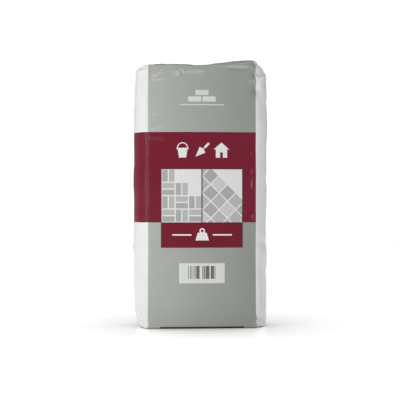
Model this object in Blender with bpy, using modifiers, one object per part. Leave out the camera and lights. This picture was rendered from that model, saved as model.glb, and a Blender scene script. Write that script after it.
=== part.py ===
"""Cement bag: a filled paper valve sack that stands on its block bottom.

Metres, +Z up. The origin is the middle of the foot, and the front panel faces -Y.
"""

import math

import bmesh
import bpy

# Driving dimensions of the filled sack
PANEL_WIDTH = 0.216  # front and back panels, from corner to corner
SIDE_BULGE = 0.029  # how far a side panel stands out past the panel corners
HEIGHT = 0.529  # to the top edge of the front panel, left of the middle
BOTTOM_DEPTH = 0.122  # front to back at the foot
TOP_DEPTH = 0.108  # front to back at the top
PANEL_BULGE = 0.011  # crown of the front and back panels

BULGE_START = 0.75  # share of the panel's half width where the side bulge sets in

# Form from foot to top
END_BULGE_SHARE = 0.85  # share of the side bulge that is left at the two ends
END_LOSS_POWER = 8  # the higher, the closer to the ends the side bulge is lost
BELLY_SHIFT = 0.85  # under 1 sets the fullest height below the middle
CROWN_POWER = 3  # the higher, the closer to the ends the panels' crown is lost
TOP_RISE = 0.009  # the valve corner stands higher than the other
TOP_RISE_LENGTH = 0.09
TOP_DIP = 0.0025  # shallow dip near the middle of the top
TOP_DIP_X = -0.008
TOP_DIP_WIDTH = 0.02
SHOULDER_START = 0.84  # share of the half width where an end starts to round off
LEFT_DROPS = (0.005, 0.001)  # of the top at its left short edge, in the middle and at the corners
RIGHT_DROPS = (0.022, 0.01)  # and at its right one, by the valve
FOOT_SHOULDER = 0.003  # lift of the foot at its short edges

# Paper and clearances
WALL = 0.0003  # two plies of sack paper
GAP = 0.0003  # between pasted or touching pieces
HEADSPACE = 0.005  # between the cement and the top of the sack
FOOT_Z = WALL + GAP  # outer face of the sack's bottom, above its cover sheet

# Cover sheets and valve
COVER_REACH_V = 0.72  # half width of the top cover, as a share of the half depth
FOOT_COVER_SIZE = (0.196, 0.088)
VALVE_EDGE_U = 0.985  # the valve's slit runs from here to the short edge
VALVE_REACH_V = 0.66
SLEEVE_START_U = 0.42
SLEEVE_END_U = 0.96
SLEEVE_REACH_V = 0.6
SLEEVE_DROP = 0.0016  # top of the sleeve, below the outer face of the sack
SLEEVE_THICKNESS = 0.0024
SLEEVE_WALL = 0.00025

# Stations of the grid that is drawn on the sack, as shares of its half sizes
ACROSS = (0.0, 0.25, 0.5, 0.7, SHOULDER_START, 0.91, SLEEVE_END_U, VALVE_EDGE_U)
UP = (0.02, 0.06, 0.13, 0.23, 0.35, 0.5, 0.65, 0.78, 0.88, 0.94, 0.98)
DEPTH_STEPS = 8


def smooth(t):
    """0 below 0, 1 above 1, and an even S between."""
    t = min(max(t, 0.0), 1.0)
    return t * t * (3 - 2 * t)


def depth_stations():
    """Inner stations from front to back. They crowd towards the corners, where the side is roundest."""
    inner = range(1, DEPTH_STEPS)
    return [math.sin(math.pi * (step / DEPTH_STEPS - 0.5)) for step in inner]


def top_height(u, v):
    """Height of the top: a rise to the valve corner, a dip, and rounded shoulders at both short edges."""
    x = u * PANEL_WIDTH / 2
    rise = TOP_RISE * smooth((x - TOP_DIP_X) / TOP_RISE_LENGTH)
    dip = TOP_DIP * math.exp(-(((x - TOP_DIP_X) / TOP_DIP_WIDTH) ** 2))
    reach = max(abs(u) - SHOULDER_START, 0.0) / (1 - SHOULDER_START)
    middle, corner = RIGHT_DROPS if u > 0 else LEFT_DROPS
    drop = middle + (corner - middle) * v * v
    return HEIGHT + rise - dip - drop * reach ** (2 + v * v)


def foot_height(u):
    reach = max(abs(u) - SHOULDER_START, 0.0) / (1 - SHOULDER_START)
    return FOOT_Z + FOOT_SHOULDER * reach**2


def side_share(w):
    """Share of the side bulge at a height: full over most of the sack, less at the ends."""
    return END_BULGE_SHARE + (1 - END_BULGE_SHARE) * (1 - abs(2 * w - 1) ** END_LOSS_POWER)


def crown(w):
    """Share of the panel's crown at a height."""
    return 1 - abs(2 * w**BELLY_SHIFT - 1) ** CROWN_POWER


def bag_point(u, v, w, headspace=0.0):
    """A point of the sack: u left to right and v front to back, from -1 to 1, and w from foot to top."""
    edge = smooth((abs(u) - BULGE_START) / (1 - BULGE_START))
    bulge = SIDE_BULGE * side_share(w) * math.sqrt(max(1 - v * v, 0.0))
    x = u * PANEL_WIDTH / 2 + math.copysign(edge * bulge, u)
    depth = BOTTOM_DEPTH + (TOP_DEPTH - BOTTOM_DEPTH) * w
    y = v * (depth / 2 + PANEL_BULGE * crown(w) * (1 - u * u))
    low = foot_height(u)
    z = low + (top_height(u, v) - headspace - low) * w
    return x, y, z


def cut_grid(bm, axis, stations):
    """Cuts straight lines across the whole mesh at these places along an axis."""
    normal = [0.0, 0.0, 0.0]
    normal[axis] = 1.0
    for place in stations:
        point = [0.0, 0.0, 0.0]
        point[axis] = place
        geometry = bm.verts[:] + bm.edges[:] + bm.faces[:]
        bmesh.ops.bisect_plane(bm, geom=geometry, plane_co=point, plane_no=normal)


def ruled_block():
    """A cube of half size 1 with the sack's grid drawn on its six faces."""
    bm = bmesh.new()
    bmesh.ops.create_cube(bm, size=2)
    cut_grid(bm, 0, sorted({sign * place for place in ACROSS for sign in (-1, 1)}))
    cut_grid(bm, 1, depth_stations())
    cut_grid(bm, 2, [2 * place - 1 for place in UP])
    return bm


def top_faces(bm, least_u, most_u, reach_v):
    """The faces of the top between these places from left to right, and this near to its middle line."""
    found = []
    for face in bm.faces:
        u, v, height = face.calc_center_median()
        if height > 0.999 and least_u < u < most_u and abs(v) < reach_v:
            found.append(face)
    return found


def shape_as_bag(bm, headspace=0.0):
    for vertex in bm.verts:
        u, v, height = vertex.co
        vertex.co = bag_point(u, v, (height + 1) / 2, headspace)


def inset(bm, distance):
    """Moves every face inwards by the same distance."""
    bm.normal_update()
    moves = [vertex.normal * vertex.calc_shell_factor() * distance for vertex in bm.verts]
    for vertex, move in zip(bm.verts, moves):
        vertex.co -= move


def paint(obj, colour, roughness):
    material = bpy.data.materials.new(obj.name + "_finish")
    material.use_nodes = True
    shader = material.node_tree.nodes["Principled BSDF"]
    shader.inputs["Base Color"].default_value = (*colour, 1.0)
    shader.inputs["Roughness"].default_value = roughness
    shader.inputs["Metallic"].default_value = 0.0
    obj.data.materials.append(material)


def add_object(name, bm, collection):
    mesh = bpy.data.meshes.new(name)
    bmesh.ops.recalc_face_normals(bm, faces=bm.faces[:])
    bm.to_mesh(mesh)
    bm.free()
    mesh.shade_smooth()
    mesh.set_sharp_from_angle(angle=math.radians(40))
    obj = bpy.data.objects.new(name, mesh)
    collection.objects.link(obj)
    return obj


def thicken(obj, thickness, offset):
    """offset -1 adds the thickness inside the surface, and 1 outside it."""
    solidify = obj.modifiers.new("Thickness", "SOLIDIFY")
    solidify.thickness = thickness
    solidify.offset = offset
    solidify.use_even_offset = True


def make_sack(collection):
    """The paper sack: one skin with folded ends, open only at its valve."""
    bm = ruled_block()
    slit = top_faces(bm, VALVE_EDGE_U, 1.0, VALVE_REACH_V)
    bmesh.ops.delete(bm, geom=slit, context="FACES")
    shape_as_bag(bm)
    sack = add_object("sack", bm, collection)
    thicken(sack, WALL, -1)
    paint(sack, (0.36, 0.37, 0.35), 0.5)


def make_cement(collection):
    """The cement that fills the sack, level a little below its top."""
    bm = ruled_block()
    shape_as_bag(bm, HEADSPACE)
    inset(bm, WALL + GAP)
    cement = add_object("cement_fill", bm, collection)
    paint(cement, (0.75, 0.75, 0.72), 0.95)


def make_top_cover(collection):
    """The sheet that is pasted over the folded flaps of the top."""
    bm = ruled_block()
    kept = set(top_faces(bm, -SHOULDER_START, SHOULDER_START, COVER_REACH_V))
    rest = [face for face in bm.faces if face not in kept]
    bmesh.ops.delete(bm, geom=rest, context="FACES")
    shape_as_bag(bm)
    bmesh.ops.translate(bm, vec=(0, 0, GAP), verts=bm.verts)
    cover = add_object("top_cover_sheet", bm, collection)
    thicken(cover, WALL, 1)
    paint(cover, (0.8, 0.8, 0.78), 0.7)


def make_foot_cover(collection):
    """The same sheet on the bottom, which the bag stands on."""
    length, width = FOOT_COVER_SIZE
    bm = bmesh.new()
    bmesh.ops.create_cube(bm, size=1)
    bmesh.ops.scale(bm, vec=(length, width, WALL), verts=bm.verts)
    bmesh.ops.translate(bm, vec=(0, 0, WALL / 2), verts=bm.verts)
    cover = add_object("bottom_cover_sheet", bm, collection)
    paint(cover, (0.8, 0.8, 0.78), 0.7)


def make_valve_sleeve(collection):
    """The flat paper tube behind the slit, which the powder inside presses shut."""
    bm = bmesh.new()
    bmesh.ops.create_cube(bm, size=2)
    middle = (SLEEVE_END_U + SLEEVE_START_U) / 2
    reach = (SLEEVE_END_U - SLEEVE_START_U) / 2
    cut_grid(bm, 0, [(place - middle) / reach for place in ACROSS if SLEEVE_START_U < place < SLEEVE_END_U])
    cut_grid(bm, 1, [place / SLEEVE_REACH_V for place in depth_stations() if abs(place) < SLEEVE_REACH_V])
    mouths = [face for face in bm.faces if abs(face.normal.x) > 0.9]
    bmesh.ops.delete(bm, geom=mouths, context="FACES")
    for vertex in bm.verts:
        u = middle + vertex.co.x * reach
        v = vertex.co.y * SLEEVE_REACH_V
        depth = SLEEVE_DROP + (1 - vertex.co.z) / 2 * SLEEVE_THICKNESS
        x, y, z = bag_point(u, v, 1.0)
        vertex.co = x, y, z - depth
    sleeve = add_object("valve_sleeve", bm, collection)
    thicken(sleeve, SLEEVE_WALL, -1)
    paint(sleeve, (0.55, 0.42, 0.28), 0.8)


def main():
    for obj in list(bpy.data.objects):
        bpy.data.objects.remove(obj)
    collection = bpy.data.collections.new("cement_bag")
    bpy.context.scene.collection.children.link(collection)
    make_sack(collection)
    make_cement(collection)
    make_top_cover(collection)
    make_foot_cover(collection)
    make_valve_sleeve(collection)


main()
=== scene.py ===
"""Looks of the cement bag: its printed paper skin, folded ends, studio and camera."""

import math

import bpy
import numpy as np
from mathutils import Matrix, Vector


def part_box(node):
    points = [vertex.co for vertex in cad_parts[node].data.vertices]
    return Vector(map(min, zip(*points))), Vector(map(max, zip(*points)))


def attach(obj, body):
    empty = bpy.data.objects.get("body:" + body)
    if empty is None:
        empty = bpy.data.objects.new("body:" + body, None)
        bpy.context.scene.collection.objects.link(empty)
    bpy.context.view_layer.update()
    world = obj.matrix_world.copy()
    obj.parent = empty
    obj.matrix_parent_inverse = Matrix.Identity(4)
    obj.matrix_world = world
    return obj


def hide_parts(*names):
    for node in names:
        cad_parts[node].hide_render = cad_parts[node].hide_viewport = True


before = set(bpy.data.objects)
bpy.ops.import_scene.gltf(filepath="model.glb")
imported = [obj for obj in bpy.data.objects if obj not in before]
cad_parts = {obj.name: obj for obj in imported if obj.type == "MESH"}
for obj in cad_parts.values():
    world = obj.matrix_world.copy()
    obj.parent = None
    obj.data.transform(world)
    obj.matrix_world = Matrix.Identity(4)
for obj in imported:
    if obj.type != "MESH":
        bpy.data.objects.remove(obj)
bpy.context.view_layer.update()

# Size of the sack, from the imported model
SACK_LOW, SACK_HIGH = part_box("sack")
HALF_WIDTH = SACK_HIGH[0]
HALF_DEPTH = SACK_HIGH[1]
HALF_PANEL = 0.108  # from the middle of the front panel to its printed edge
SIDE_BULGE = HALF_WIDTH - HALF_PANEL
LEFT_BULGE = SIDE_BULGE - 0.0022  # the left side is filled a little less
PANEL_BULGE = 0.011
FOOT_DEPTH = 0.061  # half depth of the panel's corners at the foot
TOP_DEPTH = 0.054  # and at the top
SIDE_ARC = 0.144  # length of the paper round one side
ROUND = 2 * (2 * HALF_PANEL + SIDE_ARC)  # once round the sack

# Heights
FLOOR_GAP = 0.0013  # from the floor to the sack's own bottom, above its flaps and cover sheet
FOOT_CREASE = 0.0045
PANEL_CREASE = 0.5262  # fold where the front panel turns over to the top
LEFT_CREASE = 0.5195
RIGHT_CREASE = 0.5045
REST = SACK_HIGH[2]

# Paper
PAPER = 0.0003
FLAP_LIFT = 0.0002
VALVE_REACH = 0.38  # half the length of the valve's mouth, as a share of the top's depth
VALVE_DEPTH = 0.0030
WHITE_S = HALF_PANEL + SIDE_ARC / 2  # a place of the print that is bare white paper
WHITE_Z = 0.75

# Grid of the skin
PANEL_CELLS = 100
SIDE_CELLS = 66
END_ROW = 0.0017  # row height close to the ends
MIDDLE_ROW = 0.0042
FINE_REACH = 0.075
ROLL_ROWS = 14
SHOULDER = 0.2  # share of the top's length over which it rounds off to a short edge

GLUE_SEAM = HALF_PANEL + 0.72 * SIDE_ARC
SEAM_S = ROUND / 2 + HALF_PANEL  # where the measure round the sack jumps from its end to its start


def smooth(t):
    t = np.clip(t, 0.0, 1.0)
    return t * t * (3 - 2 * t)


def bump(value, centre, width):
    """1 at the centre, falling off to both sides as a bell."""
    return np.exp(-(((value - centre) / width) ** 2))


# The skin's outline, round the sack


class Ring:
    """Stations once round the sack: front from left to right, right side, back, left side."""

    def __init__(self):
        step = np.arange(PANEL_CELLS) / PANEL_CELLS
        turn = np.arange(SIDE_CELLS) / SIDE_CELLS
        self.u = np.concatenate([2 * step - 1, np.ones(SIDE_CELLS), 1 - 2 * step, -np.ones(SIDE_CELLS)])
        none = np.zeros(PANEL_CELLS)
        self.turn = np.concatenate([none, turn, none + 1, 1 - turn])  # 0 at the front, 1 at the back
        self.part = np.repeat([0, 1, 2, 3], [PANEL_CELLS, SIDE_CELLS, PANEL_CELLS, SIDE_CELLS])
        self.x = self.u * HALF_PANEL
        self.sweep = np.sin(np.pi * self.turn)
        front = self.x
        right = HALF_PANEL + self.turn * SIDE_ARC
        back = ROUND / 2 - self.x
        left = -HALF_PANEL - self.turn * SIDE_ARC
        self.s = np.choose(self.part, [front, right, back, left])

    def side(self, sign):
        """Share of a side: 0 on the panels, 1 in the middle of the side panel of that sign."""
        return np.where(self.part == (1 if sign > 0 else 3), self.sweep, 0.0)


RING = Ring()
COUNT = len(RING.u)


def front_top(x):
    """Height of the top's front edge: level at the left, a dip, and a rise to the valve corner."""
    rise = 0.0092 * smooth((x - 0.004) / 0.097)
    dip = 0.0022 * bump(x, -0.005, 0.019)
    left_end = 0.0005 * smooth((-x - 0.095) / 0.013)
    right_end = 0.0085 * np.clip((x - 0.1010) / 0.0060, 0, 1)
    return 0.5283 + rise - dip - left_end - right_end


def back_top(x):
    rise = 0.005 * smooth((x + 0.02) / 0.1)
    dip = 0.002 * bump(x, 0.012, 0.03)
    return 0.5285 + rise - dip - 0.002 * smooth((np.abs(x) - 0.098) / 0.01)


def top_edge():
    """Height of the rim of the top, once round."""
    front, back = front_top(RING.x), back_top(RING.x)
    across = front + (back - front) * smooth(RING.turn)
    left = 0.0045 * RING.side(-1) ** 3
    right = 0.0098 * RING.side(1) ** 1.5
    return across - left - right


def top_crease():
    """Height of the fold under that rim."""
    rise = 0.0042 * smooth(RING.x / 0.045) - 0.0022 * smooth((RING.x - 0.06) / 0.05)
    on_panel = PANEL_CREASE - 0.0012 * bump(RING.x, -0.005, 0.03) + rise
    left = LEFT_CREASE - 0.001 * RING.side(-1)
    low = np.choose(RING.part, [on_panel, RIGHT_CREASE + 0 * left, on_panel, left])
    return np.minimum(low, top_edge() - 0.001)


def even_out(values, reach):
    """Running mean over the ring, which softens a jump between neighbours."""
    kernel = np.ones(2 * reach + 1) / (2 * reach + 1)
    wrapped = np.concatenate([values[-reach:], values, values[:reach]])
    return np.convolve(wrapped, kernel, mode="valid")


def section(z):
    """The sack's outline at a height that may differ from station to station: x, y."""
    w = np.clip(z / REST, 0.0, 1.0)
    share = 0.85 + 0.15 * (1 - np.abs(2 * w - 1) ** 8)
    crown = PANEL_BULGE * (1 - np.abs(2 * w**0.85 - 1) ** 3)
    depth = FOOT_DEPTH + (TOP_DEPTH - FOOT_DEPTH) * w
    bulge = np.where(RING.part == 3, LEFT_BULGE, SIDE_BULGE) * share
    crisp = np.maximum(smooth((z - 0.462) / 0.06), smooth((0.03 - z) / 0.03))
    even = np.arctan(2 * crown / HALF_PANEL * bulge / depth)
    start = even + (math.radians(24) - even) * crisp
    reach = bulge / (1 - np.sin(start))
    half = depth / np.cos(start)
    angle = (math.pi / 2 - start) * (2 * RING.turn - 1)
    side_x = HALF_PANEL + bulge - reach + reach * np.cos(angle)
    side_y = half * np.sin(angle)
    panel_y = np.where(RING.part == 0, -1, 1) * (depth + crown * (1 - RING.u**2))
    on_side = RING.part % 2 == 1
    # The left side is drawn in at the foot
    side_x = side_x - 0.0045 * RING.side(-1) * smooth((0.036 - z) / 0.03)
    x = np.where(on_side, np.where(RING.part == 1, 1, -1) * side_x, RING.x)
    y = np.where(on_side, side_y, panel_y)
    return x, y


def inward(x, y):
    """Level unit normals of a ring, pointing in."""
    along_x = np.roll(x, -2) - np.roll(x, 2)
    along_y = np.roll(y, -2) - np.roll(y, 2)
    length = np.hypot(along_x, along_y)
    return -along_y / length, along_x / length


def wall_rows():
    """Shares of the way up the wall: close rows at both ends, wider ones between."""
    tall = PANEL_CREASE - FOOT_CREASE
    fine = np.arange(0, FINE_REACH, END_ROW)
    middle = np.arange(FINE_REACH, tall - FINE_REACH, MIDDLE_ROW)
    heights = np.concatenate([fine, middle, tall - fine[::-1]])
    return heights / tall


def skin_rows():
    """Points (rows, stations, 3) of the wall and the rolls at both ends, and their unrolled height."""
    points, unrolled = [], []
    crease = even_out(top_crease(), 3)
    edge = top_edge()
    on_panel = (RING.part % 2 == 0) * smooth((HALF_PANEL - np.abs(RING.x)) / 0.015)
    inset_top = 0.0025 + 0.0048 * on_panel + 0.006 * RING.side(-1) ** 2 + 0.0105 * RING.side(1) ** 2
    inset_foot = 0.0028 + 0.003 * RING.sweep

    x, y = section(np.full(COUNT, FOOT_CREASE))
    in_x, in_y = inward(x, y)
    for step in range(ROLL_ROWS, 0, -1):
        share = step / ROLL_ROWS
        move = inset_foot * (0.3 * share + 0.7 * share**2)
        z = FOOT_CREASE - (FOOT_CREASE - FLOOR_GAP) * np.sin(share * math.pi / 2)
        points.append(np.stack([x + in_x * move, y + in_y * move, z + 0 * x], axis=1))
        unrolled.append(np.full(COUNT, FOOT_CREASE) - 1.2 * share * FOOT_CREASE)
    for share in wall_rows():
        z = FOOT_CREASE + (crease - FOOT_CREASE) * share
        x, y = section(z)
        points.append(np.stack([x, y, z], axis=1))
        unrolled.append(z)
    in_x, in_y = inward(x, y)
    for step in range(1, ROLL_ROWS + 1):
        share = step / ROLL_ROWS
        # Rounded at the left and in the middle, closer to a flat slope at the right
        flat = 0.50 * smooth((RING.x - 0.01) / 0.06) - 0.50 * smooth(3 * RING.side(1))
        turned = share * math.pi / 2
        move = inset_top * (flat * share + (1 - flat) * (1 - np.cos(turned)))
        z = crease + (edge - crease) * (flat * share + (1 - flat) * np.sin(turned))
        points.append(np.stack([x + in_x * move, y + in_y * move, z], axis=1))
        unrolled.append(crease + 1.2 * share * (edge - crease))
    return np.array(points), np.array(unrolled)


# Relief of the paper: facets, folds and dents, in metres along the normal


def facets(s, z, cell, angle, seed):
    """Flat triangular facets of random height that meet in sharp edges, as in crushed paper."""
    heights = np.random.RandomState(seed).uniform(-1, 1, (64, 64))
    a = (s * math.cos(angle) + z * math.sin(angle)) / cell
    b = (-s * math.sin(angle) + z * math.cos(angle)) / cell
    a = a + 0.5 * b + 0.35 * np.sin(1.7 * b + seed)
    b = b + 0.3 * np.sin(1.3 * a + 2 * seed)
    i, j = np.floor(a).astype(int), np.floor(b).astype(int)
    p, q = a - i, b - j
    h = [[heights[(i + m) % 64, (j + n) % 64] for n in (0, 1)] for m in (0, 1)]
    low = h[0][0] + p * (h[1][0] - h[0][0]) + q * (h[0][1] - h[0][0])
    high = h[1][1] + (1 - p) * (h[0][1] - h[1][1]) + (1 - q) * (h[1][0] - h[1][1])
    return np.where(p + q < 1, low, high)


def fold(s, z, start, end, depth, width, sharp=1.0):
    """A straight fold between two points of the wall. Positive depth is a ridge, negative a valley."""
    (s0, z0), (s1, z1) = start, end
    along = np.array([s1 - s0, z1 - z0])
    length = np.hypot(*along)
    along /= length
    t = (s - s0) * along[0] + (z - z0) * along[1]
    off = np.abs((s - s0) * -along[1] + (z - z0) * along[0])
    fade = smooth(t / (0.25 * length)) * smooth((length - t) / (0.35 * length))
    return depth * fade * np.exp(-((off / width) ** sharp))


def dent(s, z, centre, size, depth):
    return depth * np.exp(-(((s - centre[0]) / size[0]) ** 2) - ((z - centre[1]) / size[1]) ** 2)


# Each fold: from and to (round the sack, up it), height of the ridge or depth of the valley, and its width
FOLDS = [
    # Top left of the front panel
    ((-0.102, 0.5050), (-0.090, 0.5060), 0.0014, 0.0020),
    ((-0.0945, 0.5045), (-0.0805, 0.5135), 0.0019, 0.0023),
    ((-0.0835, 0.5100), (-0.0810, 0.5210), 0.0014, 0.0022),
    ((-0.102, 0.4980), (-0.073, 0.4990), 0.0013, 0.0026),
    ((-0.1090, 0.5290), (-0.1090, 0.4800), 0.0022, 0.0024),
    ((-0.116, 0.5220), (-0.176, 0.5205), -0.0038, 0.0016),
    ((-0.108, 0.5165), (-0.168, 0.5160), 0.0014, 0.0025),
    # Middle of its top
    ((-0.0545, 0.5180), (-0.0430, 0.5050), 0.0034, 0.0038),
    ((-0.0490, 0.5115), (-0.0375, 0.5225), 0.0020, 0.0024),
    ((-0.0388, 0.5220), (-0.0358, 0.5100), 0.0018, 0.0020),
    ((-0.0428, 0.5165), (-0.0402, 0.5040), -0.0022, 0.0022),
    ((-0.036, 0.5135), (0.014, 0.5155), 0.0014, 0.0045),
    ((0.046, 0.5225), (0.102, 0.5190), -0.0026, 0.0034),
    ((0.036, 0.5262), (0.106, 0.5250), 0.0014, 0.0025),
    # Top right, and over the corner onto the side
    ((0.1035, 0.518), (0.1065, 0.497), -0.0034, 0.0030),
    ((0.0925, 0.4950), (0.1030, 0.4965), 0.0013, 0.0024),
    ((0.1010, 0.4975), (0.1090, 0.4985), 0.0018, 0.0025),
    ((0.060, 0.5340), (0.095, 0.5350), -0.0015, 0.0014),
    ((0.074, 0.5312), (0.096, 0.5318), 0.0013, 0.0014),
    ((0.0915, 0.5355), (0.1100, 0.5280), -0.0015, 0.0014),
    ((0.106, 0.5010), (0.142, 0.5075), 0.0024, 0.0024),
    ((0.106, 0.5065), (0.150, 0.5135), -0.0022, 0.0022),
    ((0.109, 0.507), (0.132, 0.5215), -0.0026, 0.0028),
    ((0.1085, 0.5315), (0.1125, 0.512), 0.0012, 0.0020),
    # Left of the front panel, faint
    ((-0.1085, 0.4305), (-0.086, 0.4275), 0.0009, 0.0030),
    ((-0.1085, 0.3965), (-0.073, 0.4060), 0.0009, 0.0035),
    ((-0.110, 0.3805), (-0.072, 0.379), 0.0007, 0.0020),
    # Right of the front panel, at its edge
    ((0.0985, 0.354), (0.0992, 0.345), 0.0008, 0.0015),
    ((0.0995, 0.320), (0.1002, 0.307), 0.0008, 0.0015),
    ((0.1005, 0.303), (0.0990, 0.279), 0.0009, 0.0015),
    ((0.1015, 0.230), (0.1020, 0.216), 0.0007, 0.0015),
    ((0.104, 0.172), (0.185, 0.165), -0.0026, 0.0100),
    # Right side, round the corner
    ((0.150, 0.462), (0.214, 0.436), -0.0024, 0.0060),
    ((0.236, 0.408), (0.158, 0.380), 0.0022, 0.0060),
    ((0.150, 0.296), (0.232, 0.318), -0.0026, 0.0065),
    ((0.246, 0.236), (0.160, 0.212), 0.0022, 0.0060),
    ((0.148, 0.116), (0.222, 0.088), -0.0024, 0.0060),
    # Left side, round the corner
    ((-0.166, 0.452), (-0.236, 0.470), -0.0024, 0.0060),
    ((-0.172, 0.330), (-0.246, 0.304), -0.0022, 0.0065),
    ((-0.160, 0.152), (-0.226, 0.174), 0.0022, 0.0060),
    ((-0.240, 0.110), (-0.180, 0.088), -0.0022, 0.0055),
    # Foot corners
    ((-0.1065, 0.0125), (-0.1185, -0.002), -0.0024, 0.0018),
    ((-0.1075, 0.014), (-0.134, 0.0125), 0.0020, 0.0022),
    ((-0.110, 0.020), (-0.150, 0.0185), -0.0014, 0.0025),
    ((0.1065, 0.0150), (0.1175, 0.0150), 0.0040, 0.0025),
    ((0.1165, 0.0145), (0.136, 0.0080), 0.0032, 0.0025),
    ((0.1070, 0.0140), (0.1140, 0.0005), 0.0026, 0.0020),
    ((0.110, 0.0215), (0.140, 0.0190), -0.0022, 0.0024),
    ((0.117, 0.001), (0.134, 0.0055), -0.0026, 0.0022),
    # Back panel
    ((0.262, 0.512), (0.300, 0.496), 0.0018, 0.0035),
    ((0.300, 0.516), (0.318, 0.494), -0.0016, 0.0030),
    ((0.345, 0.508), (0.398, 0.513), 0.0014, 0.0045),
    ((0.425, 0.500), (0.462, 0.514), 0.0018, 0.0030),
    ((0.256, 0.420), (0.322, 0.436), 0.0011, 0.0050),
    ((0.398, 0.372), (0.466, 0.351), -0.0012, 0.0050),
    ((0.256, 0.118), (0.310, 0.095), 0.0011, 0.0045),
    ((0.405, 0.060), (0.464, 0.084), 0.0013, 0.0040),
]
# Each dent: centre, reach both ways, and its depth
DENTS = [
    ((0.114, 0.480), (0.012, 0.013), -0.0075),
    ((0.101, 0.150), (0.010, 0.035), -0.0012),
    ((0.109, 0.190), (0.012, 0.026), 0.0012),
    ((0.118, 0.012), (0.010, 0.009), -0.0015),
    ((0.330, 0.300), (0.055, 0.050), -0.0022),
    ((0.410, 0.180), (0.040, 0.060), -0.0018),
    ((-0.180, 0.262), (0.050, 0.030), -0.0012),
    ((-0.180, 0.386), (0.050, 0.030), 0.0008),
    ((-0.180, 0.505), (0.050, 0.020), -0.0012),
    ((0.178, 0.498), (0.060, 0.012), -0.0022),
    ((0.190, 0.240), (0.025, 0.070), -0.0018),
]
# Stretches round the sack with upright pleats at both ends: from, to and how many
PLEATED = [(0.128, 0.244, 7), (0.268, 0.452, 6), (-0.240, -0.136, 6)]


def end_pleats():
    """Upright folds that run from both ends into the wall, where the round tube was folded square."""
    draw = np.random.RandomState(21)
    made = []
    for crease, sign in ((-0.012, 1), (0.532, -1)):
        for first, last, count in PLEATED:
            for number in range(count):
                s = first + (last - first) * (number + draw.uniform(0.15, 0.85)) / count
                length = draw.uniform(0.035, 0.095)
                lean = draw.uniform(-0.2, 0.2) * length
                height = draw.choice((-1, 1)) * draw.uniform(0.0012, 0.0026)
                end = (s + lean, crease + sign * length)
                made.append(((s, crease), end, height, draw.uniform(0.0030, 0.0065)))
    return made


def relief(s, z):
    """Height of the paper's facets, folds and dents over the plain form."""
    low_end = smooth((0.05 - z) / 0.05)
    high_end = smooth((z - 0.45) / 0.07)
    panel_reach = np.abs(np.abs(s) - HALF_PANEL - SIDE_ARC / 2)
    on_side = smooth((SIDE_ARC / 2 + 0.004 - panel_reach) / 0.02)
    total = 0.0007 * facets(s, z, 0.11, 0.5, 3)
    total = total + (0.00025 + 0.0003 * low_end + 0.0006 * high_end) * facets(s, z, 0.036, 1.1, 5)
    total = total + (0.00004 + 0.00018 * low_end + 0.00025 * high_end) * facets(s, z, 0.013, 2.1, 9)
    total = total + 0.0015 * on_side * facets(s, 0.45 * z, 0.045, 0.2, 11)
    behind = smooth((s - HALF_PANEL - SIDE_ARC / 2) / 0.04)
    total = total + (0.0003 * on_side + 0.0005 * behind) * facets(s, z, 0.022, 0.9, 13)
    # The tube's glued seam, down the rear half of the right side
    total = total + 0.0007 * smooth((s - GLUE_SEAM) / 0.002) * (1 - smooth((s - GLUE_SEAM) / 0.04))
    for start, end, depth, width in FOLDS + end_pleats():
        total = total + fold(s, z, start, end, depth, width)
    for centre, size, depth in DENTS:
        total = total + dent(s, z, centre, size, depth)
    return total


def joined(field, s, z):
    """A field over the wall, blended so that it meets itself where the measure round the sack jumps."""
    near = smooth((s - SEAM_S + 0.06) / 0.06)
    return field(s, z) * (1 - near) + field(s - ROUND, z) * near


def wear_and_highlight(s, z):
    """Where the ink has cracked and where a highlight is painted: along the ridges and, less, along the long edges
    and both rims.
    """
    total = 0 * s
    for folds, strength in ((FOLDS, 1.0), (end_pleats(), 0.4)):
        for start, end, depth, width in folds:
            if depth > 0:
                total = total + fold(s, z, start, end, strength * min(depth / 0.0016, 1.0), 0.45 * width)
    edge = np.abs(np.abs(s) - HALF_PANEL)
    far_edge = np.abs(np.abs(s - ROUND / 2) - HALF_PANEL)
    rough = 0.5 + 0.5 * facets(s, z, 0.012, 0.8, 17)
    total = total + 0.22 * rough * np.exp(-((np.minimum(edge, far_edge) / 0.0015) ** 2))
    total = total + 0.2 * rough * (bump(z, PANEL_CREASE, 0.002) + bump(z, FOOT_CREASE, 0.002))
    # Scuffed and painted lighter, a painted highlight, where the valve corner rolls over to the top
    total = total + 0.3 * smooth((s - 0.01) / 0.05) * smooth((0.112 - s) / 0.004) * smooth((z - 0.5285) / 0.003)
    return np.clip(total, 0, 1)


# How far the print's edge strays from the panel's corner, at heights up the sack
LEFT_STRAY = (
    (0.0016, 0.0104, 0.017, 0.033, 0.06, 0.10),
    (-0.0066, 0.0004, -0.0012, -0.0016, -0.0004, 0.0),
)
RIGHT_STRAY = (
    (0.003, 0.0135, 0.017, 0.025, 0.033, 0.06, 0.460, 0.472, 0.485, 0.493, 0.501, 0.511, 0.525, 0.529, 0.535),
    (0.0044, -0.0006, 0.0028, 0.002, 0.0004, 0.0, 0.0, 0.003, 0.0052, 0.003, 0.0004, 0.0006, 0.0, 0.002, 0.004),
)


def stray(s, z):
    """Shift of the print near the front panel's two long edges."""
    left = np.interp(z, *LEFT_STRAY) * bump(s, -HALF_PANEL, 0.02)
    right = np.interp(z, *RIGHT_STRAY) * bump(s, HALF_PANEL, 0.02)
    return left + right


def outward(points):
    """Outward unit normals of the rows of rings."""
    round_ = np.roll(points, -1, axis=1) - np.roll(points, 1, axis=1)
    up = np.gradient(points, axis=0)
    normal = np.cross(round_, up)
    return normal / np.linalg.norm(normal, axis=2, keepdims=True)


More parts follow.
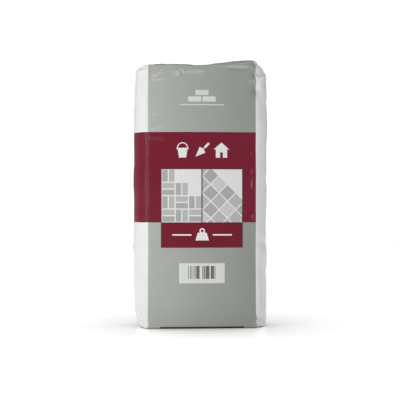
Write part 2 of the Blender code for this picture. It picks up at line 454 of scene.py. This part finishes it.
def coons(ring, dome):
    """A patch that closes a ring: (PANEL_CELLS + 1, SIDE_CELLS + 1, 3) points, with a dome in the middle."""
    a, b = PANEL_CELLS, SIDE_CELLS
    front = ring[0 : a + 1]
    right = ring[a : a + b + 1]
    back = ring[a + b : 2 * a + b + 1][::-1]
    left = np.concatenate([ring[2 * a + b :], ring[:1]])[::-1]
    p = np.linspace(0, 1, a + 1)[:, None, None]
    q = np.linspace(0, 1, b + 1)[None, :, None]
    lofts = (1 - q) * front[:, None] + q * back[:, None] + (1 - p) * left[None] + p * right[None]
    corners = (1 - p) * (1 - q) * front[0] + p * (1 - q) * front[-1] + (1 - p) * q * back[0] + p * q * back[-1]
    patch = lofts - corners
    p, q = p[:, :, 0], q[:, :, 0]
    long_ways = (1 - q) * front[:, None, 2] + q * back[:, None, 2]
    left_drop = left[None, :, 2] - long_ways[:1]
    right_drop = right[None, :, 2] - long_ways[-1:]
    near_left = np.clip(1 - p / SHOULDER, 0, 1) ** 2
    near_right = np.clip(1 - (1 - p) / SHOULDER, 0, 1) ** 2
    patch[:, :, 2] = long_ways + near_left * left_drop + near_right * right_drop
    patch[:, :, 2] += dome * (16 * p * (1 - p) * q * (1 - q)) ** 0.4
    return patch


def close_ring(points, cells, uvs, ring_row, patch, up):
    """Adds an end patch to the wall's points and faces. The patch shares its border with a row of the wall."""
    wide, deep = PANEL_CELLS, SIDE_CELLS
    base = ring_row * COUNT
    numbers = np.empty((wide + 1, deep + 1), dtype=int)
    numbers[: wide + 1, 0] = base + np.arange(wide + 1)
    numbers[wide, : deep + 1] = base + wide + np.arange(deep + 1)
    numbers[: wide + 1, deep] = base + (2 * wide + deep - np.arange(wide + 1)) % COUNT
    numbers[0, : deep + 1] = base + (2 * wide + 2 * deep - np.arange(deep + 1)) % COUNT
    first = len(points)
    inner = patch[1:-1, 1:-1]
    numbers[1:-1, 1:-1] = first + np.arange(inner.shape[0] * inner.shape[1]).reshape(inner.shape[:2])
    points += [tuple(point) for point in inner.reshape(-1, 3)]
    for i in range(wide):
        for j in range(deep):
            around = [(i, j), (i + 1, j), (i + 1, j + 1), (i, j + 1)]
            if not up:
                around.reverse()
            cells.append([numbers[a, b] for a, b in around])
            for a, b in around:
                x, y, z = patch[a, b]
                uvs.append((WHITE_S + y, WHITE_Z + x))


def top_relief(patch):
    """Shallow facets on an end, fading out at its rim."""
    wide, deep = patch.shape[:2]
    p = np.linspace(0, 1, wide)[:, None]
    q = np.linspace(0, 1, deep)[None, :]
    fade = smooth(np.minimum(p, 1 - p) / 0.06) * smooth(np.minimum(q, 1 - q) / 0.12)
    x, y = patch[:, :, 0], patch[:, :, 1]
    return fade * (0.0012 * facets(x, y, 0.05, 0.6, 31) + 0.0005 * facets(x, y, 0.018, 1.4, 37))


def press_valve(patch):
    """The valve's mouth: a groove along the right short edge, pressed shut by the powder."""
    deep = patch.shape[1] - 1
    q = np.arange(deep + 1) / deep
    along = smooth((VALVE_REACH - np.abs(q - 0.5)) / 0.05)
    patch[-4, :, 2] += 0.0008 * along
    patch[-3, :, 2] -= VALVE_DEPTH * along
    patch[-2, :, 2] -= 0.0004 * along


def make_skin():
    """The sack's one skin: wall, rolled rims and the two folded ends under their flaps."""
    rows, unrolled = skin_rows()
    s = np.broadcast_to(RING.s, unrolled.shape)
    lift = joined(relief, s, unrolled)
    lift *= smooth((unrolled + FOOT_CREASE) / (2 * FOOT_CREASE))
    rows = rows + outward(rows) * lift[:, :, None]
    rows[:, :, 2] = np.maximum(rows[:, :, 2], FLOOR_GAP)
    count = len(rows)
    points = [tuple(point) for point in rows.reshape(-1, 3)]
    cells, uvs = [], []
    here = np.broadcast_to(RING.s, unrolled.shape)
    ends = np.append(RING.s[1:], -HALF_PANEL)
    ends[PANEL_CELLS + SIDE_CELLS - 1] = HALF_PANEL + SIDE_ARC
    ends[2 * PANEL_CELLS + SIDE_CELLS - 1] = ROUND / 2 + HALF_PANEL
    there = np.broadcast_to(ends, unrolled.shape)
    above = np.roll(unrolled, -1, axis=1)
    here = here - stray(here, unrolled)
    there = there - stray(there, above)
    for r in range(count - 1):
        for c in range(COUNT):
            d = (c + 1) % COUNT
            cells.append((r * COUNT + c, r * COUNT + d, (r + 1) * COUNT + d, (r + 1) * COUNT + c))
            uvs += [(here[r, c], unrolled[r, c]), (there[r, c], above[r, c])]
            uvs += [(there[r + 1, c], above[r + 1, c]), (here[r + 1, c], unrolled[r + 1, c])]
    top = coons(rows[-1], 0.003)
    top[:, :, 2] += top_relief(top)
    foot = coons(rows[0], 0.0)
    pressed = top.copy()
    press_valve(pressed)
    close_ring(points, cells, uvs, count - 1, pressed, True)
    close_ring(points, cells, uvs, 0, foot, False)
    skin = mesh_object("sack_skin", points, cells, uvs)
    # Ink wear and painted highlight along ridges, edges and rims, kept on the points
    worn_and_highlit = np.zeros(len(points), dtype=np.float32)
    worn_and_highlit[: rows.shape[0] * COUNT] = joined(wear_and_highlight, s, unrolled).ravel()
    skin.data.attributes.new("wear_and_highlight", "FLOAT", "POINT").data.foreach_set("value", worn_and_highlit)
    return skin, rows, top, foot


def mesh_object(name, points, cells, uvs):
    mesh = bpy.data.meshes.new(name)
    mesh.from_pydata([tuple(point) for point in points], [], cells)
    layer = mesh.uv_layers.new(name="print")
    layer.data.foreach_set("uv", np.array(uvs, dtype=np.float32).ravel())
    mesh.shade_smooth()
    piece = bpy.data.objects.new(name, mesh)
    bpy.context.scene.collection.objects.link(piece)
    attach(piece, "root")
    return piece


def sample(patch, p, q):
    """Points of a patch at shares p across and q from front to back."""
    i = np.clip(p, 0, 1) * (patch.shape[0] - 1)
    j = np.clip(q, 0, 1) * (patch.shape[1] - 1)
    i0 = np.minimum(i.astype(int), patch.shape[0] - 2)
    j0 = np.minimum(j.astype(int), patch.shape[1] - 2)
    a = (i - i0)[..., None]
    b = (j - j0)[..., None]
    low = patch[i0, j0] * (1 - a) + patch[i0 + 1, j0] * a
    high = patch[i0, j0 + 1] * (1 - a) + patch[i0 + 1, j0 + 1] * a
    return low * (1 - b) + high * b


def lay_sheet(name, patch, p, q, lift, uv, up=1):
    """A thin paper sheet that follows an end patch. p and q are grids of shares, lift its height over the patch."""
    points = sample(patch, p, q)
    points[..., 2] += up * lift
    wide, deep = p.shape
    cells, uvs = [], []
    for i in range(wide - 1):
        for j in range(deep - 1):
            around = [(i, j), (i + 1, j), (i + 1, j + 1), (i, j + 1)]
            if up < 0:
                around.reverse()
            cells.append([a * deep + b for a, b in around])
            uvs += [uv(points[a, b]) for a, b in around]
    piece = mesh_object(name, points.reshape(-1, 3), cells, uvs)
    solidify = piece.modifiers.new("thickness", "SOLIDIFY")
    solidify.thickness = PAPER
    solidify.offset = 1
    return piece


def make_flaps(patch, up, name):
    """The two long flaps of an end, cut slanted at their ends. The back one lies over the front one."""
    share = (FOOT_DEPTH + TOP_DEPTH) / 2 / HALF_WIDTH
    made = []
    for side, lift in (("front", 0.0001), ("back", 0.0001 + PAPER)):
        across = np.linspace(0, 1, 101)[:, None]
        along = np.linspace(0, 1, 29)[None, :]
        edge = 0.555 + 0.006 * np.sin(9 * across) + 0.003 * np.sin(31 * across)
        q = along * edge
        cut = 0.012 + q * share * 0.95
        p = cut + across * (1 - 2 * cut)
        if side == "back":
            p, q = p[::-1], 1 - q
            lift = lift + 1.3 * PAPER * smooth((0.58 - q) / 0.05)
        q = np.broadcast_to(q, p.shape)
        piece = lay_sheet(f"{name}_flap_{side}", patch, p, q, lift, lambda v: (v[0], 0.54 + 0.1 * v[1]), up)
        made.append(piece)
    return made


def make_cover(name, patch, up, lift, reach, node):
    """The sheet that is pasted over the flaps of an end. reach is its half size as shares of the end's."""
    across = np.linspace(-1, 1, 101)[:, None]
    along = np.linspace(-1, 1, 41)[None, :]
    p = 0.5 + 0.5 * reach[0] * across + 0.0 * along
    q = 0.5 + 0.5 * reach[1] * along + 0.004 * np.sin(5 * across)
    piece = lay_sheet(name, patch, p, q, lift, lambda v: (WHITE_S + v[1], WHITE_Z + v[0]), up)
    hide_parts(node)
    return piece


def make_sleeve(patch):
    """The valve's flat kraft tube under the top, whose mouth shows in the groove."""
    steps = 28
    turn = np.linspace(0, 2 * math.pi, 2 * steps, endpoint=False)
    q = 0.5 + (VALVE_REACH - 0.02) * np.cos(turn)
    rows = []
    for p in np.linspace(0.75, 0.979, 24):
        ring = sample(patch, np.full(len(turn), p), q)
        ring[:, 2] -= 0.0017 - 0.0009 * np.sign(np.sin(turn)) * np.abs(np.sin(turn)) ** 0.5
        rows.append(ring)
    n = len(turn)
    cells, uvs = [], []
    for r in range(len(rows) - 1):
        for c in range(n):
            d = (c + 1) % n
            cells.append((r * n + c, r * n + d, (r + 1) * n + d, (r + 1) * n + c))
            uvs += [(0.0, 0.0)] * 4
    piece = mesh_object("valve_sleeve_tube", np.concatenate(rows), cells, uvs)
    solidify = piece.modifiers.new("thickness", "SOLIDIFY")
    solidify.thickness = PAPER
    solidify.offset = 0
    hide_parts("valve_sleeve")
    return piece


def make_cement(rows, top, foot):
    """The powder inside: the skin's form drawn in, with a level top under the headspace."""
    inner = rows - outward(rows) * 0.0025
    picked = [r for r in range(ROLL_ROWS, len(rows) - ROLL_ROWS, 5) if rows[r, :, 2].max() < 0.494]
    stations = np.arange(0, COUNT, 4)
    n = len(stations)
    points = [tuple(point) for r in picked for point in inner[r, stations]]
    cells = []
    for r in range(len(picked) - 1):
        for c in range(n):
            d = (c + 1) % n
            cells.append((r * n + c, r * n + d, (r + 1) * n + d, (r + 1) * n + c))
    cells.append(list(range(n))[::-1])
    cells.append([(len(picked) - 1) * n + c for c in range(n)])
    uvs = [(0.0, 0.0) for cell in cells for corner in cell]
    piece = mesh_object("cement_powder", points, cells, uvs)
    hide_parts("cement_fill")
    return piece


# Studio
DOME_LEFT = 0.27
DOME_RIGHT = 0.145
DOME_TOP = 0.62
FLOOR_GLOW = 0.64
SHADE_REACH = 0.24  # how far from the bag the floor starts to darken
KEY_PLACE = (-1.15, -1.1, 0.46)
KEY_SIZE = (0.7, 0.8)
KEY_POWER = 6.9
EDGE_PLACE = (-1.30, -0.22, 0.30)
EDGE_SIZE = (0.12, 0.9)
EDGE_POWER = 0.5
RIM_PLACE = (1.25, 0.30, 0.30)
RIM_SIZE = (0.12, 0.9)
RIM_POWER = 0.35


# Materials


class Number:
    """A number that varies over a surface. Sums and products of it add nodes to the material."""

    def __init__(self, tree, socket):
        self.tree = tree
        self.socket = socket

    def calc(self, operation, *others):
        node = self.tree.nodes.new("ShaderNodeMath")
        node.operation = operation
        for slot, value in zip(node.inputs, (self, *others)):
            if isinstance(value, Number):
                self.tree.links.new(value.socket, slot)
            else:
                slot.default_value = value
        return Number(self.tree, node.outputs[0])

    def __add__(self, other):
        return self.calc("ADD", other)

    def __sub__(self, other):
        return self.calc("SUBTRACT", other)

    def __mul__(self, other):
        return self.calc("MULTIPLY", other)

    def __gt__(self, other):
        return self.calc("GREATER_THAN", other)

    def __lt__(self, other):
        return self.calc("LESS_THAN", other)

    def abs(self):
        return self.calc("ABSOLUTE")

    def within(self, low, high):
        """1 between the two numbers and 0 outside."""
        return ((self - (low + high) / 2).abs()) < (high - low) / 2

    def repeat(self, period):
        """Runs from 0 to the period, over and over."""
        return self.calc("FLOORED_MODULO", period)

    def ramp(self, low, high):
        """0 at the low number, 1 at the high one, and even between."""
        node = self.tree.nodes.new("ShaderNodeMapRange")
        self.tree.links.new(self.socket, node.inputs["Value"])
        node.inputs["From Min"].default_value = low
        node.inputs["From Max"].default_value = high
        return Number(self.tree, node.outputs["Result"])


class Paint:
    """A material that is painted in layers on a Principled shader."""

    def __init__(self, name, roughness, specular=0.3):
        self.material = bpy.data.materials.new(name)
        self.material.use_nodes = True
        self.tree = self.material.node_tree
        self.shader = self.tree.nodes["Principled BSDF"]
        self.shader.inputs["Roughness"].default_value = roughness
        self.shader.inputs["Specular IOR Level"].default_value = specular
        self.colour = None

    def link(self, source, target):
        self.tree.links.new(source, target)

    def uv(self):
        """The print's own measure: metres round the sack and up it."""
        node = self.tree.nodes.new("ShaderNodeUVMap")
        node.uv_map = "print"
        parts = self.tree.nodes.new("ShaderNodeSeparateXYZ")
        self.link(node.outputs["UV"], parts.inputs[0])
        return Number(self.tree, parts.outputs["X"]), Number(self.tree, parts.outputs["Y"])

    def noise(self, scale, detail=3.0, stretch=(1, 1, 1), rough=0.5):
        place = self.tree.nodes.new("ShaderNodeTexCoord")
        mapping = self.tree.nodes.new("ShaderNodeMapping")
        mapping.inputs["Scale"].default_value = stretch
        node = self.tree.nodes.new("ShaderNodeTexNoise")
        node.inputs["Scale"].default_value = scale
        node.inputs["Detail"].default_value = detail
        node.inputs["Roughness"].default_value = rough
        self.link(place.outputs["Object"], mapping.inputs["Vector"])
        self.link(mapping.outputs["Vector"], node.inputs["Vector"])
        return Number(self.tree, node.outputs[0])

    def mix(self, under, over, mask):
        """A colour socket: under where the mask is 0, over where it is 1."""
        node = self.tree.nodes.new("ShaderNodeMix")
        node.data_type = "RGBA"
        for slot, value in ((6, under), (7, over)):
            if isinstance(value, tuple):
                node.inputs[slot].default_value = (*value, 1.0)
            else:
                self.link(value, node.inputs[slot])
        if isinstance(mask, Number):
            self.link(mask.socket, node.inputs[0])
        else:
            node.inputs[0].default_value = mask
        return node.outputs[2]

    def lay(self, colour, mask):
        """Prints a colour over what is there, where the mask is 1."""
        self.colour = self.mix(self.colour, colour, mask)

    def bump(self, height, distance, strength=1.0):
        node = self.tree.nodes.new("ShaderNodeBump")
        node.inputs["Strength"].default_value = strength
        node.inputs["Distance"].default_value = distance
        self.link(height.socket, node.inputs["Height"])
        self.link(node.outputs["Normal"], self.shader.inputs["Normal"])

    def fibres(self, distance):
        """Paper's fine fibres, and soft wrinkles a few centimetres long."""
        fine = self.noise(700, 4)
        soft = self.noise(55, 3, (1, 1, 0.5))
        self.bump(fine * 0.35 + soft, distance * 3, 0.6)

    def uneven_gloss(self, low, high, worn_and_highlit=None):
        """Roughness that wanders between two values, and is higher along the wear and painted highlight."""
        rough = self.noise(40, 4) * (high - low) + low
        if worn_and_highlit is not None:
            rough = rough + worn_and_highlit * 0.25
        self.link(rough.socket, self.shader.inputs["Roughness"])

    def attribute(self, name):
        node = self.tree.nodes.new("ShaderNodeAttribute")
        node.attribute_name = name
        return Number(self.tree, node.outputs["Fac"])

    def tint(self, factor):
        """Makes the colour so far darker or lighter by a factor."""
        node = self.tree.nodes.new("ShaderNodeVectorMath")
        node.operation = "SCALE"
        self.link(self.colour, node.inputs[0])
        self.link(factor.socket, node.inputs["Scale"])
        self.colour = node.outputs[0]

    def done(self):
        if self.colour is not None:
            if isinstance(self.colour, tuple):
                self.shader.inputs["Base Color"].default_value = (*self.colour, 1.0)
            else:
                self.link(self.colour, self.shader.inputs["Base Color"])
        return self.material


WHITE = (0.80, 0.80, 0.795)
# One grey ink, given as a lighter and a darker copy for painted shading across the panels
GREY_PAINTED_LIT = (0.445, 0.464, 0.432)
GREY_PAINTED_SHADED = (0.305, 0.321, 0.297)
RED = (0.178, 0.011, 0.027)
# A lighter copy of the band's red, for painted light towards the right
RED_PAINTED_LIGHTER = (0.196, 0.016, 0.036)
DARK = (0.075, 0.045, 0.045)
LABEL = (0.72, 0.735, 0.715)
PALE = (0.70, 0.715, 0.70)
INK_WHITE = (0.80, 0.79, 0.79)
PICTURE_WHITE = (0.78, 0.78, 0.77)
STONE_DARK = (0.41, 0.415, 0.41)
STONE_LIGHT = (0.48, 0.485, 0.48)
STONE_PALE = (0.60, 0.605, 0.60)
BAR_INK = (0.16, 0.15, 0.15)
BLACK = (0.012, 0.012, 0.012)

# Layout of the print: half width of the boxes, and heights up the sack
BOX_HALF = 0.0805
FOOT_BAR_HALF = 0.083
PRINT_SHIFT = 0.0008  # the print lies a little left of the panel's middle
BAND = (0.2123, 0.3927)
BOX_LOW = 0.1635
PICTURE_LOW = 0.2125
PICTURE_HIGH = 0.3182


def print_material():
    """Printed paper: grey panels with painted shading, a red band, boxes, pictures and a label, each laid over the
    last.
    """
    paint = Paint("printed_paper", 0.36, 0.1)
    paint.shader.inputs["Coat Weight"].default_value = 0.15
    paint.shader.inputs["Coat Roughness"].default_value = 0.16
    s, z = paint.uv()
    # The back panel is measured from its own middle, as the front one is
    behind = s > (HALF_PANEL + SIDE_ARC * 0.9)
    x = s - behind * (ROUND / 2)
    front = behind * -1 + 1
    mottle = paint.noise(28, 4) * 0.06 + 0.97
    panel = x.abs() < HALF_PANEL
    # Painted shade: the grey is painted darker towards the right and towards the foot
    painted_shading = x.ramp(-HALF_PANEL, HALF_PANEL) * 0.92 + z.ramp(0.53, 0.0) * 0.12
    grey = paint.mix(GREY_PAINTED_LIT, GREY_PAINTED_SHADED, painted_shading)
    paint.colour = paint.mix(WHITE, grey, panel)
    band = z.within(*BAND) * (s.within(HALF_PANEL + 0.0006, HALF_PANEL + SIDE_ARC) * -1 + 1)
    # Painted light: the band's red is painted lighter towards the right
    paint.lay(paint.mix(RED, RED_PAINTED_LIGHTER, x.ramp(-HALF_PANEL, HALF_PANEL)), band)
    placed = x + PRINT_SHIFT
    print_mark(paint, placed, z, front)
    print_signs(paint, placed, z, front)
    print_weight_box(paint, placed, z, front)
    print_paving(paint, placed, z, front)
    print_tiles(paint, placed, z, front)
    print_label(paint, placed, z, front)
    paint.lay(BLACK, x.within(-FOOT_BAR_HALF, FOOT_BAR_HALF) * (z < 0.0040) * front)
    # Lightens the colour along ridges and edges: ink wear and painted highlight
    wear_highlight_and_mottle(paint, mottle, 0.4)
    paint.uneven_gloss(0.28, 0.44, paint.attribute("wear_and_highlight"))
    paint.fibres(0.00015)
    return paint.done()


def box_mask(x, z, left, right, low, high):
    return x.within(left, right) * z.within(low, high)


def disc_mask(x, z, centre, radius):
    a = x - centre[0]
    b = z - centre[1]
    return (a * a + b * b) < radius**2


def any_of(*masks):
    """1 where at least one of the masks is 1."""
    total = masks[0]
    for mask in masks[1:]:
        total = total.calc("MAXIMUM", mask)
    return total


def wear_highlight_and_mottle(paint, mottle, strength):
    """Ink that is a little uneven, and lightened along the creases: partly ink cracked to the paper, partly a painted
    highlight.
    """
    worn_and_highlit = paint.attribute("wear_and_highlight") * strength
    paint.colour = paint.mix(paint.colour, WHITE, worn_and_highlit)
    paint.tint(mottle)


def print_mark(paint, x, z, front):
    """A plain mark in the place over the band: three bricks laid in bond, over a rule."""
    low = box_mask(x.abs(), z, 0.0013, 0.0275, 0.4535, 0.4640)
    high = box_mask(x, z, -0.0131, 0.0131, 0.4666, 0.4770)
    rule = box_mask(x, z, -0.0450, 0.0450, 0.4462, 0.4482)
    paint.lay(PALE, any_of(low, high, rule) * front)


def rounded_bar(x, z, left, right, low, high):
    """A bar with half round ends."""
    radius = (high - low) / 2
    middle = (high + low) / 2
    ends = [disc_mask(x, z, (place, middle), radius) for place in (left + radius, right - radius)]
    return any_of(box_mask(x, z, left + radius, right - radius, low, high), *ends)


def bucket(x, z):
    """A bucket, about its middle: a tapered tub with a rim and a raised handle."""
    tub = z.within(-0.0150, 0.0020) * ((x.abs() - z * 0.16) < 0.0095)
    rim = box_mask(x, z, -0.0122, 0.0122, 0.0020, 0.0046)
    ring = disc_mask(x, z, (0, 0.0046), 0.0110) - disc_mask(x, z, (0, 0.0046), 0.0090)
    return any_of(tub, rim, ring * (z > 0.0046))


def trowel(x, z):
    """A brick trowel, about its middle, laid on the slant."""
    a = (x + z) * math.sqrt(0.5)
    b = (z - x) * math.sqrt(0.5)
    blade = a.within(-0.0190, 0.0010) * ((b.abs() - a * 0.42) < 0.0078)
    back = a.within(0.0010, 0.0030) * ((b.abs() + a * 3.0) < 0.0115)
    shaft = box_mask(a, b, 0.0020, 0.0080, -0.0011, 0.0011)
    return any_of(blade, back, shaft, rounded_bar(a, b, 0.0070, 0.0200, -0.0023, 0.0023))


def house(x, z):
    """A house front, about its middle, with an open door."""
    walls = box_mask(x, z, -0.0115, 0.0115, -0.0150, 0.0015)
    roof = (z > 0.0015) * ((x.abs() + z * 1.15) < 0.0175)
    return any_of(walls, roof) - box_mask(x, z, -0.0028, 0.0028, -0.0150, -0.0045)


def print_signs(paint, x, z, front):
    """Three plain signs on the band, in the place of its lettering."""
    middle = 0.3565
    for sign, place in ((bucket, -0.0390), (trowel, 0.0), (house, 0.0390)):
        paint.lay(INK_WHITE, sign(x - place, z - middle) * front)


def print_weight_box(paint, x, z, front):
    """The box under the pictures, with a plain weight between two rules."""
    line = 0.0016
    outer = box_mask(x, z, -BOX_HALF - line, BOX_HALF + line, BOX_LOW - line, PICTURE_HIGH + line) * front
    paint.lay(DARK, outer)
    paint.lay(RED, box_mask(x, z, -BOX_HALF, BOX_HALF, BOX_LOW, PICTURE_LOW) * front)
    height = z - 0.1765
    body = height.within(0.0, 0.0155) * ((x.abs() + height * 0.30) < 0.0135)
    ring = disc_mask(x, z, (0, 0.1955), 0.0056) - disc_mask(x, z, (0, 0.1955), 0.0027)
    rules = rounded_bar(x.abs(), z, 0.0210, 0.0600, 0.1860, 0.1890)
    paint.lay(INK_WHITE, any_of(body, ring, rules) * front)


def print_paving(paint, x, z, front):
    """Left picture: basket weave paving, seen straight on."""
    left, right = -BOX_HALF, -0.0016
    inside = box_mask(x, z, left, right, PICTURE_LOW, PICTURE_HIGH) * front
    cell, joint = 0.0266, 0.0026
    a, b = x - left, z - PICTURE_LOW
    corner = (a * (1 / cell)).calc("FLOOR") + (b * (1 / cell)).calc("FLOOR")
    odd = corner.repeat(2)
    a, b = a.repeat(cell), b.repeat(cell)
    across = a * odd + b * (odd * -1 + 1)
    along = b * odd + a * (odd * -1 + 1)
    half = across.repeat(cell / 2)
    stone = half.within(joint / 2, cell / 2 - joint / 2) * along.within(joint / 2, cell - joint / 2)
    shade = paint.mix(STONE_DARK, STONE_LIGHT, across > cell / 2)
    paint.lay(PICTURE_WHITE, inside)
    paint.lay(shade, inside * stone * (corner < 3.5))


def print_tiles(paint, x, z, front):
    """Right picture: square tiles laid on the slant in three greys."""
    left, right = 0.0008, BOX_HALF
    inside = box_mask(x, z, left, right, PICTURE_LOW, PICTURE_HIGH) * front
    cell, joint = 0.0240, 0.0025
    a = (x + z) * math.sqrt(0.5)
    b = (x - z) * math.sqrt(0.5)
    row, column = (a * (1 / cell)).calc("FLOOR"), (b * (1 / cell)).calc("FLOOR")
    a, b = a.repeat(cell), b.repeat(cell)
    tile = a.within(joint / 2, cell - joint / 2) * b.within(joint / 2, cell - joint / 2)
    shade = paint.mix(STONE_DARK, STONE_LIGHT, (row + column).repeat(2))
    shade = paint.mix(shade, STONE_PALE, (row * 2 + column).repeat(5) < 0.5)
    paint.lay(PICTURE_WHITE, inside)
    paint.lay(shade, inside * tile * (row < 9.5))


def print_label(paint, x, z, front):
    """The pale label with plain upright bars of unlike widths, and no digits."""
    paint.lay(LABEL, box_mask(x, z, -0.0460, 0.0450, 0.0914, 0.1312) * front)
    step = 0.00132
    column = (x * (1 / step)).calc("FLOOR")
    node = paint.tree.nodes.new("ShaderNodeTexWhiteNoise")
    node.noise_dimensions = "1D"
    paint.link(column.socket, node.inputs["W"])
    dark = Number(paint.tree, node.outputs["Value"]) > 0.42
    field = box_mask(x, z, -0.0300, 0.0318, 0.1000, 0.1258)
    paint.lay(BAR_INK, dark * field * front)


def plain_paper(name, colour, roughness):
    paint = Paint(name, roughness, 0.3)
    paint.colour = paint.mix(colour, tuple(0.9 * part for part in colour), paint.noise(35, 5))
    paint.uneven_gloss(roughness - 0.08, roughness + 0.08)
    paint.fibres(0.00014)
    return paint.done()


def kraft():
    """Brown sleeve paper, with darker fibres along it."""
    paint = Paint("kraft_paper", 0.75, 0.2)
    streaks = paint.noise(260, 4, (1, 5, 1))
    paint.uneven_gloss(0.68, 0.82)
    paint.colour = paint.mix((0.30, 0.19, 0.10), (0.44, 0.31, 0.18), streaks)
    paint.fibres(0.00015)
    return paint.done()


def powder():
    paint = Paint("cement", 0.95, 0.2)
    paint.colour = paint.mix((0.66, 0.66, 0.63), (0.78, 0.78, 0.75), paint.noise(90, 6))
    paint.uneven_gloss(0.88, 1.0)
    paint.bump(paint.noise(1500, 5), 0.0004, 1.0)
    return paint.done()


def camera_and_light():
    scene = bpy.context.scene
    data = bpy.data.cameras.new("camera")
    camera = bpy.data.objects.new("camera", data)
    scene.collection.objects.link(camera)
    scene.camera = camera
    distance, azimuth = 2.3, math.radians(-4.3)
    camera.location = (math.sin(azimuth) * distance, -math.cos(azimuth) * distance, 0.257)
    camera.rotation_euler = (math.radians(90), 0, azimuth)
    data.sensor_width = 36.0
    front = distance - 0.058
    data.lens = 36.0 * front / 0.8
    scene.view_settings.view_transform = "Standard"


def make_world():
    """White to the eye, and a softer light on the bag."""
    world = bpy.data.worlds.new("studio")
    bpy.context.scene.world = world
    world.use_nodes = True
    tree = world.node_tree
    seen = tree.nodes["Background"]
    seen.inputs["Color"].default_value = (1, 1, 1, 1)
    seen.inputs["Strength"].default_value = 1.05
    light = tree.nodes.new("ShaderNodeBackground")
    light.inputs["Color"].default_value = (1, 1, 1, 1)
    place = tree.nodes.new("ShaderNodeTexCoord")
    parts = tree.nodes.new("ShaderNodeSeparateXYZ")
    tree.links.new(place.outputs["Generated"], parts.inputs[0])
    side = Number(tree, parts.outputs["X"]).ramp(-1, 1)
    height = Number(tree, parts.outputs["Z"])
    strength = side * (DOME_RIGHT - DOME_LEFT) + DOME_LEFT + height * height * DOME_TOP
    tree.links.new(strength.socket, light.inputs["Strength"])
    path = tree.nodes.new("ShaderNodeLightPath")
    mix = tree.nodes.new("ShaderNodeMixShader")
    tree.links.new(path.outputs["Is Camera Ray"], mix.inputs[0])
    tree.links.new(light.outputs[0], mix.inputs[1])
    tree.links.new(seen.outputs[0], mix.inputs[2])
    tree.links.new(mix.outputs[0], tree.nodes["World Output"].inputs["Surface"])


def soft_light(name, place, size, power, aim):
    data = bpy.data.lights.new(name, "AREA")
    data.shape = "RECTANGLE"
    data.size, data.size_y = size
    data.energy = power
    lamp = bpy.data.objects.new(name, data)
    bpy.context.scene.collection.objects.link(lamp)
    lamp.location = place
    direction = Vector(aim) - Vector(place)
    lamp.rotation_euler = direction.to_track_quat("-Z", "Y").to_euler()


def make_floor():
    mesh = bpy.data.meshes.new("floor")
    far = 6.0
    mesh.from_pydata([(-far, -far, 0), (far, -far, 0), (far, far, 0), (-far, far, 0)], [], [(0, 1, 2, 3)])
    floor = bpy.data.objects.new("floor", mesh)
    bpy.context.scene.collection.objects.link(floor)
    paint = Paint("floor_glow_with_painted_shadow", 0.25, 0.5)
    paint.colour = (0.9, 0.9, 0.9)
    # The glow is weaker close to the bag, as the light of a white studio floor is: a painted contact shadow
    paint.shader.inputs["Emission Color"].default_value = (1, 1, 1, 1)
    near = paint.tree.nodes.new("ShaderNodeAmbientOcclusion")
    near.inputs["Distance"].default_value = SHADE_REACH
    glow = Number(paint.tree, near.outputs["AO"]).calc("POWER", 1.5) * FLOOR_GLOW
    paint.link(glow.socket, paint.shader.inputs["Emission Strength"])
    mesh.materials.append(paint.done())


skin, wall, top_patch, foot_patch = make_skin()
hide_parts("sack")
printed = print_material()
white_paper = plain_paper("cover_paper", WHITE, 0.5)
skin.data.materials.append(printed)
for piece in make_flaps(top_patch, 1, "top") + make_flaps(foot_patch, -1, "foot"):
    piece.data.materials.append(printed)
make_cover("top_cover", top_patch, 1, 3.6 * PAPER, (0.80, 0.62), "top_cover_sheet").data.materials.append(white_paper)
make_cover("foot_cover", foot_patch, -1, 3.2 * PAPER, (0.74, 0.74), "bottom_cover_sheet").data.materials.append(white_paper)
make_sleeve(top_patch).data.materials.append(kraft())
make_cement(wall, top_patch, foot_patch).data.materials.append(powder())
make_floor()
make_world()
soft_light("key", KEY_PLACE, KEY_SIZE, KEY_POWER, (0, 0, 0.27))
soft_light("edge", EDGE_PLACE, EDGE_SIZE, EDGE_POWER, (0, 0, 0.27))
soft_light("rim", RIM_PLACE, RIM_SIZE, RIM_POWER, (0, 0, 0.27))
camera_and_light()
